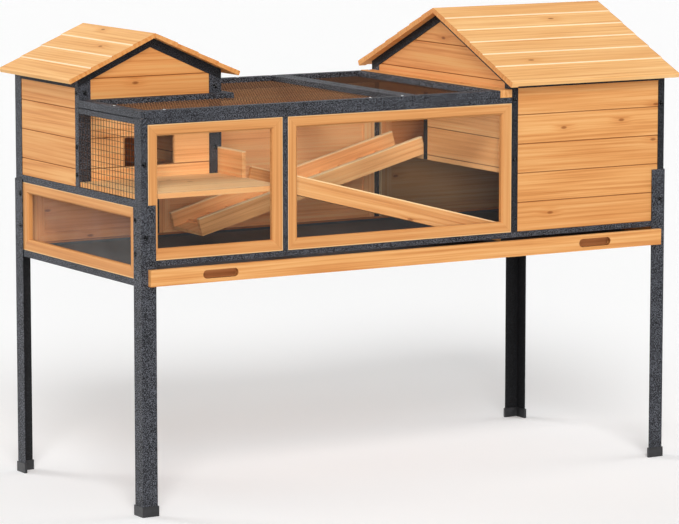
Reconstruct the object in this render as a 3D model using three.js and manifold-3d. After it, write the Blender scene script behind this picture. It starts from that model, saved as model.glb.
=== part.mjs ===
import * as THREE from 'three';
import { mergeVertices } from 'three/addons/utils/BufferGeometryUtils.js';
import Module from 'manifold-3d';

// A two-storey tortoise habitat on an angle-steel stand, in millimetres, +Z up.
// X runs along the front from left to right and Y from the front to the back.
// The habitat is built from the outer corner of its front left leg, and moved
// at the end so that the origin lies on the ground under the middle of the whole.

const wasm = await Module();
wasm.setup();

// Whole frame, over the outer faces of the legs
const frameLength = 1448;
const frameDepth = 646;
const gap = 0.3; // clearance between pieces that touch
const overrun = 5; // how far a cutting solid runs past what it cuts

// Stand
const legHeight = 715;
const legOverlap = 186; // the legs run up outside the cage's corner posts
const legFlange = 38;
const legWall = 2;
const footWall = 2;
const footHeight = 24;
const footSole = 2.5;

// Steel of the cage
const steelWall = 2;
const wideFlange = 32;
const narrowFlange = 17.5;
const middlePostFace = 13.5;
const shelfFlange = 22; // level flange of the upper rails, which carries what stands on them
const runnerFlange = 50; // level flange of the side rails, which carries the tray
const rafterDepth = 24;

// Bays, over the outer faces of the steel
const leftHouseWidth = 378;
const leftHouseDepth = 333;
const rightHouseWidth = 445;
const middlePostSetback = 9.5; // from the house's right face back to the post between the windows

// Heights of the cage, from its bottom up
const penHeight = 209; // to the upper floor
const roomHeight = 174; // from there to the top rails
const sideRailHeight = 16;
const frontRailLift = 46;
const frontRailHeight = 13;
const floorThickness = 12;
const middleRailHeight = 17;
const topRailHeight = 14;
const leftPlateRise = 72.6; // from the top rails to the roof over the posts' outer faces
const rightPlateRise = 41.4;

// Roofs
const roofAngle = 24 * Math.PI / 180;
const roofThickness = 9;
const roofLap = 1.8; // how far each board stands over the next one down
const roofBevel = 1.6;
const leftRoofBoards = 4;
const rightRoofBoards = 6;
const rightRidgeBoard = 54;
const rightEaveBoard = 81;
const leftEaveReach = 36.8; // past the posts
const rightEaveReach = 32.8;
const leftRoofFront = 27;
const leftRoofBack = 10;
const rightRoofSide = 21.5;

// Boarded walls
const wallThickness = 9;
const wallSetback = 1.5; // behind the steel's face
const boardWidth = 70;
const grooveWidth = 3;
const grooveDepth = 2;
const leftSill = 29;
const leftDoorwaySetback = 87.5;
const leftDoorwayWidth = 133;
const leftDoorwayHeight = 68;
const rightDoorwayWidth = 214;
const rightDoorwayBoards = 2; // the doorway is this many boards high

// Windows
const windowMember = 26;
const windowThickness = 18;
const windowSetback = 1;
const windowBevel = 4;
const rebateWidth = 8;
const rebateDepth = 5;
const paneThickness = 3;

// Back panels and doors
const panelMember = 32;
const panelThickness = 12;
const fieldThickness = 5;
const fieldSetback = 3.5;
const fieldTongue = 4;
const doorGap = 1.5;
const leftDoorDrop = 5.5; // below the top rails
const eaveSwing = 2; // a door passes this far under the eave

// Hinges of the doors and the lid
const barrelRadius = 3;
const barrelSides = 12;
const hingeLength = 50;
const hingeLeaf = 1.5;
const hingeLeafWidth = 14;
const hingeInset = 38; // from the end of the piece to its hinge
const hingeRoot = 0.5; // how far a leaf is let into what carries it

// Ramps, fence and batten
const rampWidth = 150;
const rampRail = 44;
const rampWall = 10;
const rampDeck = 8;
const cleatPitch = 55;
const cleatWidth = 9;
const cleatHeight = 4;
const longRampAngle = 14.6 * Math.PI / 180;
const longRampRun = 630;
const longRampSeat = 6; // how far its upper end lies on the sill
const longRampSetback = 3; // from the near side of the doorway
const shortRampAngle = 14.7 * Math.PI / 180;
const shortRampRun = 616;
const shortRampDrop = 14.7; // from the platform's top down to the ramp's underside
const shortRampFront = 43;
const fenceThickness = 10;
const fenceHeight = 62;

// Lids and nets
const lidRail = 22;
const lidHeight = 17;
const hingedLidLength = 246;
const battenWidth = 32.4;
const battenHeight = 18;
const netPitch = 41;
const netWire = 1.8;

// Tray
const trayFrontHeight = 38;
const trayFrontThickness = 12;
const trayFrontMargin = 17.5;
const traySide = 10;
const traySideHeight = 28.5;
const trayFloor = 5;
const trayFloorLift = 13.5;
const trayClearance = 1.5;
const fingerRoom = 18; // behind the finger slots of the front board
const slotLength = 92;
const slotHeight = 20;
const leftSlotMargin = 181;
const rightSlotMargin = 196.5;
const slotSides = 12;

// Faces and corners that several pieces share
const left = legWall + gap;
const right = frameLength - left;
const front = left;
const back = frameDepth - front;
const leftHouseRight = left + leftHouseWidth;
const leftHouseFront = back - leftHouseDepth;
const rightHouseLeft = right - rightHouseWidth;
const middlePost = leftHouseRight - middlePostSetback;
const cageBottom = legHeight - legOverlap;
const frontRailBottom = cageBottom + frontRailLift;
const upperFloor = cageBottom + penHeight;
const topRailTop = upperFloor + roomHeight;
const leftPlate = topRailTop + leftPlateRise;
const rightPlate = topRailTop + rightPlateRise;
const leftDoorTop = topRailTop - leftDoorDrop;
const trayFrontBottom = cageBottom + steelWall;
const sideRailTop = cageBottom + sideRailHeight;
const frontRailTop = frontRailBottom + frontRailHeight;
const floorBottom = upperFloor - floorThickness;
const middleRailTop = floorBottom - gap;
const topRailBottom = topRailTop - topRailHeight;
const windowInside = front + windowSetback + windowThickness;

// Materials
const finish = (color, roughness, metalness) =>
  new THREE.MeshStandardMaterial({ color, roughness, metalness });
const hammeredSteel = finish(0x3a4049, 0.55, 0.35);
const blackPlastic = finish(0x1c1d20, 0.6, 0);
const pine = finish(0xe3a263, 0.55, 0);
const paleRoofPine = finish(0xf2bf83, 0.55, 0);
const innerPine = finish(0xb87a4e, 0.6, 0);
const brownWire = finish(0x4b3a30, 0.5, 0.4);
const acrylic = new THREE.MeshStandardMaterial({
  color: 0xdfe6e6,
  roughness: 0.08,
  metalness: 0,
  transparent: true,
  opacity: 0.25,
});

// Solids

const axisX = new THREE.Vector3(1, 0, 0);
const axisY = new THREE.Vector3(0, 1, 0);
const axisZ = new THREE.Vector3(0, 0, 1);
const turnTo = (u, v, w) => new THREE.Matrix4().makeBasis(u, v, w);
const facing = {
  front: turnTo(axisX, axisZ, axisY.clone().negate()),
  left: turnTo(axisY.clone().negate(), axisZ, axisX.clone().negate()),
  back: turnTo(axisX.clone().negate(), axisZ, axisY),
  side: turnTo(axisY, axisZ, axisX),
};

function outline(points, holes = []) {
  const shape = new THREE.Shape(points.map(([a, b]) => new THREE.Vector2(a, b)));
  for (const hole of holes) {
    shape.holes.push(new THREE.Path(hole.map(([a, b]) => new THREE.Vector2(a, b))));
  }
  return shape;
}

function extrude(shape, depth) {
  return new THREE.ExtrudeGeometry(shape, { depth, bevelEnabled: false, steps: 1 });
}

// An outline in X and Y, extruded from one height to another
function prismZ(points, from, to, holes) {
  return extrude(outline(points, holes), to - from).translate(0, 0, from);
}

// An outline in X and Z, extruded from front to back
function prismY(points, from, to, holes) {
  return extrude(outline(points, holes), to - from).applyMatrix4(facing.front).translate(0, to, 0);
}

// An outline in Y and Z, extruded from left to right
function prismX(points, from, to, holes) {
  return extrude(outline(points, holes), to - from).applyMatrix4(facing.side).translate(from, 0, 0);
}

function block([x0, y0, z0], [x1, y1, z1]) {
  const box = new THREE.BoxGeometry(x1 - x0, y1 - y0, z1 - z0);
  return box.translate((x0 + x1) / 2, (y0 + y1) / 2, (z0 + z1) / 2);
}

const rectangle = (a0, b0, a1, b1) => [[a0, b0], [a1, b0], [a1, b1], [a0, b1]];

// An L section from its outer corner; the signs of the reaches say which way its legs run
function angle(a, b, reachA, reachB, wall) {
  const wallA = Math.sign(reachA) * wall;
  const wallB = Math.sign(reachB) * wall;
  return [
    [a, b],
    [a + reachA, b],
    [a + reachA, b + wallB],
    [a + wallA, b + wallB],
    [a + wallA, b + reachB],
    [a, b + reachB],
  ];
}

// A section swept round the four mitred corners of a rectangle, seen from outside.
// The section is given in inset from the outer edge and depth behind the face.
function mitredFrame(width, height, section) {
  const corners = [[0, 0, 1, 1], [width, 0, -1, 1], [width, height, -1, -1], [0, height, 1, -1]];
  const positions = [];
  for (const [x, y, towardsX, towardsY] of corners) {
    for (const [inset, depth] of section) {
      positions.push(x + towardsX * inset, y + towardsY * inset, -depth);
    }
  }
  const count = section.length;
  const faces = [];
  corners.forEach((_, corner) => {
    const here = corner * count;
    const next = ((corner + 1) % corners.length) * count;
    for (let point = 0; point < count; point += 1) {
      const after = (point + 1) % count;
      faces.push(here + point, next + point, next + after);
      faces.push(here + point, next + after, here + after);
    }
  });
  const geometry = new THREE.BufferGeometry();
  geometry.setAttribute('position', new THREE.Float32BufferAttribute(positions, 3));
  geometry.setIndex(faces);
  return geometry;
}

function solid(geometry) {
  const bare = geometry.clone();
  bare.deleteAttribute('normal');
  bare.deleteAttribute('uv');
  const merged = mergeVertices(bare);
  return new wasm.Manifold(new wasm.Mesh({
    numProp: 3,
    vertProperties: merged.attributes.position.array,
    triVerts: Uint32Array.from(merged.index.array),
  }));
}

function join(...geometries) {
  return geometries.map(solid).reduce((whole, next) => whole.add(next));
}

function geometryOf(body) {
  const { vertProperties, triVerts } = body.getMesh();
  const geometry = new THREE.BufferGeometry();
  geometry.setAttribute('position', new THREE.BufferAttribute(vertProperties, 3));
  geometry.setIndex(new THREE.BufferAttribute(triVerts, 1));
  geometry.computeVertexNormals();
  return geometry;
}

const habitat = new THREE.Group();

function piece(name, shape, material) {
  const geometry = shape instanceof THREE.BufferGeometry ? shape : geometryOf(shape);
  const mesh = new THREE.Mesh(geometry, material);
  mesh.name = name;
  habitat.add(mesh);
  return mesh;
}

// Roof lines: the underside of a roof over a house, measured across its ridge

function roofLine(near, far, plate) {
  const ridge = (near + far) / 2;
  const under = (at) => plate + (ridge - near - Math.abs(at - ridge)) * Math.tan(roofAngle);
  return { near, far, ridge, under };
}

const leftRoof = roofLine(left, leftHouseRight, leftPlate);
const rightRoof = roofLine(front, back, rightPlate);
const rafterTop = gap;
const rafterBottom = rafterTop + rafterDepth;
const rafterSkin = steelWall / Math.cos(roofAngle);

// The band between two depths under a roof, from one outer face of the house to the other
function chevron({ near, ridge, far, under }, top, bottom, spread = 0) {
  const stations = [near - spread, ridge, far + spread];
  const upper = stations.map((at) => [at, under(at) - top]);
  const lower = stations.map((at) => [at, under(at) - bottom]);
  return [...upper, ...lower.reverse()];
}

// Legs and their feet

const legCorners = [
  ['front_left', 0, 0, 1, 1],
  ['front_right', frameLength, 0, -1, 1],
  ['back_left', 0, frameDepth, 1, -1],
  ['back_right', frameLength, frameDepth, -1, -1],
];

for (const [place, x, y, towardsX, towardsY] of legCorners) {
  // the leg's own section, grown all round by a margin
  const grown = (margin) => {
    const reach = legFlange + 2 * margin;
    const cornerX = x - towardsX * margin;
    const cornerY = y - towardsY * margin;
    return angle(cornerX, cornerY, towardsX * reach, towardsY * reach, legWall + 2 * margin);
  };
  piece(`leg_${place}`, prismZ(grown(0), footSole + gap, legHeight), hammeredSteel);
  const socket = solid(prismZ(grown(gap), footSole, footHeight + overrun));
  const cap = solid(prismZ(grown(gap + footWall), 0, footHeight)).subtract(socket);
  piece(`foot_${place}`, cap, blackPlastic);
}

// Posts: upright angles inside the legs, cut away under the rafters

function post(x, y, reachX, reachY, bottom, top) {
  return solid(prismZ(angle(x, y, reachX, reachY, steelWall), bottom, top));
}

const underRafters = (roof, rafterAt, rafterTowards, prism) => {
  const nearFace = rafterAt - rafterTowards * gap;
  const farFace = rafterAt + rafterTowards * (steelWall + gap);
  const band = chevron(roof, -overrun, rafterBottom + gap, overrun);
  return solid(prism(band, Math.min(nearFace, farFace), Math.max(nearFace, farFace)));
};

const leftPostTop = leftPlate - rafterTop - rafterSkin - gap;
const rightPostTop = rightPlate - rafterTop - rafterSkin - gap;
const leftFrontRafter = underRafters(leftRoof, leftHouseFront, 1, prismY);
const leftBackRafter = underRafters(leftRoof, back, -1, prismY);
const rightLeftRafter = underRafters(rightRoof, rightHouseLeft, 1, prismX);
const rightRightRafter = underRafters(rightRoof, right, -1, prismX);

piece(
  'post_front_left',
  post(left, front, narrowFlange, wideFlange, sideRailTop + gap, topRailTop),
  hammeredSteel,
);
piece(
  'post_front_right',
  post(right, front, -narrowFlange, wideFlange, sideRailTop + gap, rightPostTop).subtract(rightRightRafter),
  hammeredSteel,
);
piece(
  'post_back_left',
  post(left, back, wideFlange, -wideFlange, sideRailTop + gap, leftPostTop).subtract(leftBackRafter),
  hammeredSteel,
);
piece(
  'post_back_right',
  post(right, back, -wideFlange, -wideFlange, sideRailTop + gap, rightPostTop).subtract(rightRightRafter),
  hammeredSteel,
);
piece(
  'post_front_middle',
  post(middlePost, front, middlePostFace, narrowFlange, frontRailTop + gap, topRailBottom - gap),
  hammeredSteel,
);
piece(
  'left_house_post_left',
  post(left, leftHouseFront, wideFlange, narrowFlange, middleRailTop + gap, leftPostTop)
    .subtract(leftFrontRafter),
  hammeredSteel,
);
piece(
  'left_house_post_right',
  post(leftHouseRight, leftHouseFront, -wideFlange, narrowFlange, upperFloor + gap, leftPostTop)
    .subtract(leftFrontRafter),
  hammeredSteel,
);
piece(
  'left_house_post_back',
  post(leftHouseRight, back, -wideFlange, -narrowFlange, sideRailTop + gap, leftPostTop)
    .subtract(leftBackRafter),
  hammeredSteel,
);
piece(
  'right_house_post_front',
  post(rightHouseLeft, front, narrowFlange, wideFlange, frontRailTop + gap, rightPostTop)
    .subtract(rightLeftRafter),
  hammeredSteel,
);
piece(
  'right_house_post_back',
  post(rightHouseLeft, back, narrowFlange, -wideFlange, sideRailTop + gap, rightPostTop)
    .subtract(rightLeftRafter),
  hammeredSteel,
);

// Rails: level angles between the posts

const frontRailStart = left + narrowFlange + gap;
const frontRailEnd = right - narrowFlange - gap;
const middleBayStart = leftHouseRight + gap;
const middleBayEnd = rightHouseLeft - gap;
const sideBayStart = front + wideFlange + gap;
const sideBayEnd = back - wideFlange - gap;
const sideRailEnd = back - shelfFlange - gap;

piece(
  'rail_front_bottom',
  prismX(
    angle(front, frontRailTop, shelfFlange, -frontRailHeight, steelWall),
    frontRailStart,
    frontRailEnd,
  ),
  hammeredSteel,
);
piece(
  'rail_front_top',
  prismX(angle(front, topRailTop, shelfFlange, -topRailHeight, steelWall), frontRailStart, middleBayEnd),
  hammeredSteel,
);
piece(
  'rail_back_bottom',
  prismX(angle(back, cageBottom, -shelfFlange, sideRailHeight, steelWall), left, right),
  hammeredSteel,
);
piece(
  'rail_back_top',
  prismX(angle(back, topRailTop, -shelfFlange, -topRailHeight, steelWall), middleBayStart, middleBayEnd),
  hammeredSteel,
);
piece(
  'rail_left_bottom',
  prismY(angle(left, cageBottom, runnerFlange, sideRailHeight, steelWall), front, sideRailEnd),
  hammeredSteel,
);
piece(
  'rail_right_bottom',
  prismY(angle(right, cageBottom, -runnerFlange, sideRailHeight, steelWall), front, sideRailEnd),
  hammeredSteel,
);
piece(
  'rail_left_middle',
  prismY(
    angle(left, middleRailTop, shelfFlange, -middleRailHeight, steelWall),
    sideBayStart,
    sideBayEnd,
  ),
  hammeredSteel,
);

// Rafters: a bent angle under each gable end of a roof

function rafter(name, roof, prism, at, towards) {
  const span = (reach) => [Math.min(at, at + towards * reach), Math.max(at, at + towards * reach)];
  const face = prism(chevron(roof, rafterTop, rafterBottom), ...span(steelWall));
  const shelf = prism(chevron(roof, rafterTop, rafterTop + rafterSkin), ...span(narrowFlange));
  piece(name, join(face, shelf), hammeredSteel);
}

rafter('left_house_rafter_front', leftRoof, prismY, leftHouseFront, 1);
rafter('left_house_rafter_back', leftRoof, prismY, back, -1);
rafter('right_house_rafter_left', rightRoof, prismX, rightHouseLeft, 1);
rafter('right_house_rafter_right', rightRoof, prismX, right, -1);

// Windows: a rebated, bevelled frame with an acrylic pane let in from behind

const windowSection = [
  [0, 0],
  [windowMember - windowBevel, 0],
  [windowMember, windowBevel],
  [windowMember, windowThickness - rebateDepth],
  [windowMember - rebateWidth, windowThickness - rebateDepth],
  [windowMember - rebateWidth, windowThickness],
  [0, windowThickness],
];

function windowUnit(frameName, paneName, width, height, face, corner) {
  const place = (geometry) => geometry.applyMatrix4(face).translate(...corner);
  piece(frameName, place(mitredFrame(width, height, windowSection)), pine);
  const inset = windowMember - rebateWidth + gap;
  const paneFront = -(windowThickness - rebateDepth + gap);
  const pane = block(
    [inset, inset, paneFront - paneThickness],
    [width - inset, height - inset, paneFront],
  );
  piece(paneName, place(pane), acrylic);
}

const windowBottom = frontRailTop + gap;
const windowHeight = topRailBottom - gap - windowBottom;
const windowFace = front + windowSetback;
const sideWindowBottom = sideRailTop + gap;
const sideWindowHeight = middleRailTop - middleRailHeight - gap - sideWindowBottom;

windowUnit(
  'front_window_left',
  'front_pane_left',
  middlePost - gap - frontRailStart,
  windowHeight,
  facing.front,
  [frontRailStart, windowFace, windowBottom],
);
windowUnit(
  'front_window_right',
  'front_pane_right',
  middleBayEnd - (middlePost + middlePostFace + gap),
  windowHeight,
  facing.front,
  [middlePost + middlePostFace + gap, windowFace, windowBottom],
);
windowUnit(
  'side_window',
  'side_pane',
  sideBayEnd - sideBayStart,
  sideWindowHeight,
  facing.left,
  [left + windowSetback, sideBayEnd, sideWindowBottom],
);

// Nets of welded wire: a flat lattice with a wire at each place

// Wires at even steps through a row of marks, with one on each mark
function wiresThrough(...marks) {
  const places = [marks[0]];
  for (let mark = 1; mark < marks.length; mark += 1) {
    const from = marks[mark - 1];
    const span = marks[mark] - from;
    const count = Math.round(span / netPitch);
    for (let step = 1; step <= count; step += 1) {
      places.push(from + span * step / count);
    }
  }
  return places;
}

// The lattice lies in X and Y, one wire thick; cells whose middle is outside are left out
function netSheet(placesX, placesY, isOutside = () => false) {
  const edges = (places) => places.flatMap((at) => [at - netWire / 2, at + netWire / 2]);
  const xs = edges(placesX);
  const ys = edges(placesY);
  const isWire = (column, row) => {
    const inside = column >= 0 && row >= 0 && column < xs.length - 1 && row < ys.length - 1;
    if (!inside || (column % 2 === 1 && row % 2 === 1)) return false;
    return !isOutside((xs[column] + xs[column + 1]) / 2, (ys[row] + ys[row + 1]) / 2);
  };
  const positions = [];
  const quad = (a, b, c, d) => positions.push(...a, ...b, ...c, ...a, ...c, ...d);
  for (let column = 0; column < xs.length - 1; column += 1) {
    for (let row = 0; row < ys.length - 1; row += 1) {
      if (!isWire(column, row)) continue;
      const ring = rectangle(xs[column], ys[row], xs[column + 1], ys[row + 1]);
      const low = ring.map(([x, y]) => [x, y, 0]);
      const high = ring.map(([x, y]) => [x, y, netWire]);
      quad(...high);
      quad(...[...low].reverse());
      const neighbours = [[column, row - 1], [column + 1, row], [column, row + 1], [column - 1, row]];
      neighbours.forEach(([nextColumn, nextRow], side) => {
        const after = (side + 1) % neighbours.length;
        if (!isWire(nextColumn, nextRow)) quad(low[side], low[after], high[after], high[side]);
      });
    }
  }
  const geometry = new THREE.BufferGeometry();
  geometry.setAttribute('position', new THREE.Float32BufferAttribute(positions, 3));
  return geometry;
}

const sideNetEnd = leftHouseFront - gap;
const sideNetBottom = middleRailTop + gap;
const sideNet = netSheet(
  wiresThrough(sideBayStart + netWire / 2, sideNetEnd - netWire / 2),
  wiresThrough(sideNetBottom + netWire / 2, topRailBottom),
).applyMatrix4(facing.side).translate(left + steelWall / 2, 0, 0);
const leftTopRail = prismY(
  angle(left, topRailTop, shelfFlange, -topRailHeight, steelWall),
  sideBayStart,
  sideNetEnd,
);
piece('side_net', join(sideNet, leftTopRail), brownWire);

// Boarded walls, with a groove at each seam of their outer face

// The seams lie a board's width apart, up and down from the one that is given
function boardedSection(face, inward, bottom, top, anySeam) {
  const points = [[face, bottom]];
  const boardsUp = Math.ceil((bottom + grooveWidth - anySeam) / boardWidth);
  for (let seam = anySeam + boardsUp * boardWidth; seam < top - grooveWidth; seam += boardWidth) {
    points.push([face, seam - grooveWidth / 2]);
    points.push([face + inward * grooveDepth, seam]);
    points.push([face, seam + grooveWidth / 2]);
  }
  const inside = face + inward * wallThickness;
  points.push([face, top], [inside, top], [inside, bottom]);
  return points;
}

// The gable outline of a wall between two uprights, below the rafters
function gableOutline({ ridge, under }, from, to, bottom) {
  const edge = (at) => under(at) - rafterBottom - gap;
  return [[from, bottom], [to, bottom], [to, edge(to)], [ridge, edge(ridge)], [from, edge(from)]];
}

const leftWallFrom = left + wideFlange + gap;
const leftWallTo = leftHouseRight - wideFlange - gap;
const leftBoardsTop = leftRoof.under(leftRoof.ridge);
const rightBoardsTop = rightRoof.under(rightRoof.ridge);
const leftSeam = upperFloor + leftSill;
const leftFrontFace = leftHouseFront + wallSetback;
const leftWallBottom = upperFloor + gap;
const doorwayFrom = leftWallFrom + leftDoorwaySetback;
const leftDoorway = block(
  [doorwayFrom, leftHouseFront - overrun, leftSeam],
  [doorwayFrom + leftDoorwayWidth, leftFrontFace + wallThickness + overrun, leftSeam + leftDoorwayHeight],
);
const leftFrontBoards = boardedSection(leftFrontFace, 1, leftWallBottom, leftBoardsTop, leftSeam);
const leftFrontOutline = gableOutline(leftRoof, leftWallFrom, leftWallTo, leftWallBottom);
piece(
  'left_house_front_wall',
  solid(prismX(leftFrontBoards, leftWallFrom, leftWallTo))
    .intersect(solid(prismY(leftFrontOutline, leftHouseFront, back)))
    .subtract(solid(leftDoorway)),
  pine,
);

const sideBoardsTop = leftRoof.under(left + wallSetback) - gap;
const sideBoardsFrom = leftHouseFront + narrowFlange + gap;
piece(
  'left_house_left_wall',
  prismY(
    boardedSection(left + wallSetback, 1, middleRailTop + gap, sideBoardsTop, leftSeam),
    sideBoardsFrom,
    sideBayEnd,
  ),
  pine,
);
piece(
  'left_house_right_wall',
  prismY(
    boardedSection(leftHouseRight - wallSetback, -1, leftWallBottom, sideBoardsTop, leftSeam),
    sideBoardsFrom,
    back - narrowFlange - gap,
  ),
  pine,
);

const backGableBottom = leftDoorTop + doorGap;
const backGableOutline = gableOutline(leftRoof, leftWallFrom, leftWallTo, backGableBottom);
const backGableBoards = boardedSection(back - wallSetback, -1, backGableBottom, leftBoardsTop, leftSeam);
piece(
  'left_house_back_gable',
  solid(prismX(backGableBoards, leftWallFrom, leftWallTo))
    .intersect(solid(prismY(backGableOutline, leftHouseFront, back))),
  pine,
);

const rightFrontFace = front + wallSetback;
const rightFrontTop = rightRoof.under(rightFrontFace) - gap;
piece(
  'right_house_front_wall',
  prismX(
    boardedSection(rightFrontFace, 1, windowBottom, rightFrontTop, windowBottom),
    rightHouseLeft + narrowFlange + gap,
    frontRailEnd,
  ),
  pine,
);

const rightLeftFace = rightHouseLeft + wallSetback;
const rightDoorway = block(
  [rightHouseLeft - overrun, sideBayEnd - rightDoorwayWidth, upperFloor],
  [
    rightLeftFace + wallThickness + overrun,
    sideBayEnd + overrun,
    upperFloor + rightDoorwayBoards * boardWidth,
  ],
);
const rightLeftBoards = boardedSection(rightLeftFace, 1, floorBottom, rightBoardsTop, upperFloor);
const rightLeftOutline = gableOutline(rightRoof, sideBayStart, sideBayEnd, floorBottom);
piece(
  'right_house_left_wall',
  solid(prismY(rightLeftBoards, sideBayStart, sideBayEnd))
    .intersect(solid(prismX(rightLeftOutline, rightHouseLeft, right)))
    .subtract(solid(rightDoorway)),
  pine,
);

const rightRightBoards = boardedSection(
  right - wallSetback,
  -1,
  sideWindowBottom,
  rightBoardsTop,
  upperFloor,
);
const rightRightOutline = gableOutline(rightRoof, sideBayStart, sideBayEnd, sideWindowBottom);
piece(
  'right_house_right_wall',
  solid(prismY(rightRightBoards, sideBayStart, sideBayEnd))
    .intersect(solid(prismX(rightRightOutline, rightHouseLeft, right))),
  pine,
);

// Roofs: lapped boards, cut plumb where the two slopes meet at the ridge

// One slope's section, from the ridge's underside: its reach is measured level, to the eave's corner
function lappedSlope(roof, towards, reach, boards, ridgeBoard, eaveBoard) {
  const { ridge, under } = roof;
  const sine = Math.sin(roofAngle);
  const cosine = Math.cos(roofAngle);
  const place = (along, lift) => [
    ridge + towards * (along * cosine + lift * sine),
    under(ridge) - along * sine + lift * cosine,
  ];
  const plumb = (lift) => (gap / 2 - lift * sine) / cosine;
  const crest = roofThickness + roofLap;
  const length = (reach - (crest - roofBevel) * sine) / cosine;
  const between = (length - ridgeBoard - eaveBoard) / (boards - 2);
  const points = [place(plumb(0), 0), place(plumb(roofThickness), roofThickness)];
  let edge = ridgeBoard;
  for (let board = 1; board < boards; board += 1) {
    points.push(place(edge - roofBevel, crest), place(edge, crest - roofBevel), place(edge, roofThickness));
    edge += between;
  }
  points.push(place(length - roofBevel, crest), place(length, crest - roofBevel), place(length, 0));
  return points;
}

const leftReach = leftHouseWidth / 2 + leftEaveReach;
const rightReach = (back - front) / 2 + rightEaveReach;
const leftBoard = leftReach / Math.cos(roofAngle) / leftRoofBoards;
const leftRoofFrom = leftHouseFront - leftRoofFront;
const leftRoofTo = back + leftRoofBack;
const rightRoofFrom = rightHouseLeft - rightRoofSide;
const rightRoofTo = right + rightRoofSide;

for (const [place, towards] of [['left', -1], ['right', 1]]) {
  const section = lappedSlope(leftRoof, towards, leftReach, leftRoofBoards, leftBoard, leftBoard);
  piece(`left_house_roof_${place}`, prismY(section, leftRoofFrom, leftRoofTo), paleRoofPine);
}

const rightSlope = (towards) =>
  lappedSlope(rightRoof, towards, rightReach, rightRoofBoards, rightRidgeBoard, rightEaveBoard);
piece('right_house_roof_front', prismX(rightSlope(-1), rightRoofFrom, rightRoofTo), paleRoofPine);

// The back slope carries a batten that the door below it closes against
const backPanelFace = back - windowSetback;
const backPanelInside = backPanelFace - panelThickness;
const eaveUnderside = rightRoof.under(back + rightEaveReach);
const rightDoorTop = eaveUnderside - eaveSwing;
const eaveBatten = prismX(
  [
    [backPanelInside, rightDoorTop + doorGap],
    [backPanelFace, rightDoorTop + doorGap],
    [backPanelFace, rightRoof.under(backPanelFace) + steelWall],
    [backPanelInside, rightRoof.under(backPanelInside) + steelWall],
  ],
  rightHouseLeft + narrowFlange + gap,
  right - wideFlange - gap,
);
piece(
  'right_house_roof_back',
  join(prismX(rightSlope(1), rightRoofFrom, rightRoofTo), eaveBatten),
  paleRoofPine,
);

// Floors, fence and ramps

const platformLeft = left + steelWall / 2 + netWire + gap;
const platformRight = leftHouseRight - gap;
const platformBack = back - narrowFlange - gap;
const houseFloorLeft = left + wallSetback + wallThickness + gap;
piece(
  'upper_platform',
  prismZ(
    [
      [platformLeft, windowInside + gap],
      [platformRight, windowInside + gap],
      [platformRight, platformBack],
      [houseFloorLeft, platformBack],
      [houseFloorLeft, leftHouseFront + steelWall + gap],
      [leftWallFrom, leftHouseFront + steelWall + gap],
      [leftWallFrom, leftHouseFront - gap],
      [platformLeft, leftHouseFront - gap],
    ],
    floorBottom,
    upperFloor,
  ),
  pine,
);
piece(
  'right_house_floor',
  block(
    [rightLeftFace + wallThickness + gap, rightFrontFace + wallThickness + gap, floorBottom],
    [right - wallSetback - wallThickness - gap, backPanelInside - doorGap, upperFloor],
  ),
  pine,
);

const shortRampBack = shortRampFront + rampWidth;
piece(
  'platform_fence',
  block(
    [platformRight - fenceThickness, shortRampBack, upperFloor + gap],
    [platformRight, leftHouseFront - gap, upperFloor + gap + fenceHeight],
  ),
  pine,
);

// A ramp along X from its lower end, before it is tilted: a cleated deck between two rails
function ramp(length) {
  const deck = [[0, 0], [length, 0], [length, rampDeck]];
  for (let at = length - cleatPitch; at > cleatPitch / 2; at -= cleatPitch) {
    deck.push([at, rampDeck], [at, rampDeck + cleatHeight]);
    deck.push([at - cleatWidth, rampDeck + cleatHeight], [at - cleatWidth, rampDeck]);
  }
  deck.push([0, rampDeck]);
  return join(
    prismY(deck, rampWall / 2, rampWidth - rampWall / 2),
    block([0, 0, 0], [length, rampWall, rampRail]),
    block([0, rampWidth - rampWall, 0], [length, rampWidth, rampRail]),
  );
}

// The long ramp climbs to the right and lies on the sill of the right house's doorway
const longRampHead = rightLeftFace + longRampSeat;
const longRampRise = Math.tan(longRampAngle);
const longRamp = piece('long_ramp', ramp(longRampRun / Math.cos(longRampAngle)), innerPine);
longRamp.rotation.y = -longRampAngle;
longRamp.position.set(
  longRampHead - longRampRun,
  sideBayEnd - rightDoorwayWidth + longRampSetback,
  upperFloor + gap - (longRampRun - longRampSeat) * longRampRise,
);

// The short ramp climbs to the left and butts on the platform's edge
const shortRamp = piece('short_ramp', ramp(shortRampRun / Math.cos(shortRampAngle)), innerPine);
shortRamp.rotation.set(0, -shortRampAngle, Math.PI, 'ZYX');
shortRamp.position.set(
  leftHouseRight + shortRampRun,
  shortRampFront + rampWidth,
  upperFloor - shortRampDrop - shortRampRun * Math.tan(shortRampAngle),
);

// Framed panels at the back: a bevelled frame round a thinner field

const panelSection = [
  [0, 0],
  [panelMember - windowBevel / 2, 0],
  [panelMember, windowBevel / 2],
  [panelMember, panelThickness],
  [0, panelThickness],
];

function framedPanel(width, height, corner) {
  const inset = panelMember - fieldTongue;
  const field = block(
    [inset, inset, -(fieldSetback + fieldThickness)],
    [width - inset, height - inset, -fieldSetback],
  );
  const place = (geometry) => geometry.applyMatrix4(facing.back).translate(...corner);
  return join(place(mitredFrame(width, height, panelSection)), place(field));
}

piece(
  'middle_back_panel',
  framedPanel(
    middleBayEnd - middleBayStart,
    topRailBottom - gap - sideWindowBottom,
    [middleBayEnd, backPanelFace, sideWindowBottom],
  ),
  innerPine,
);

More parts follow.
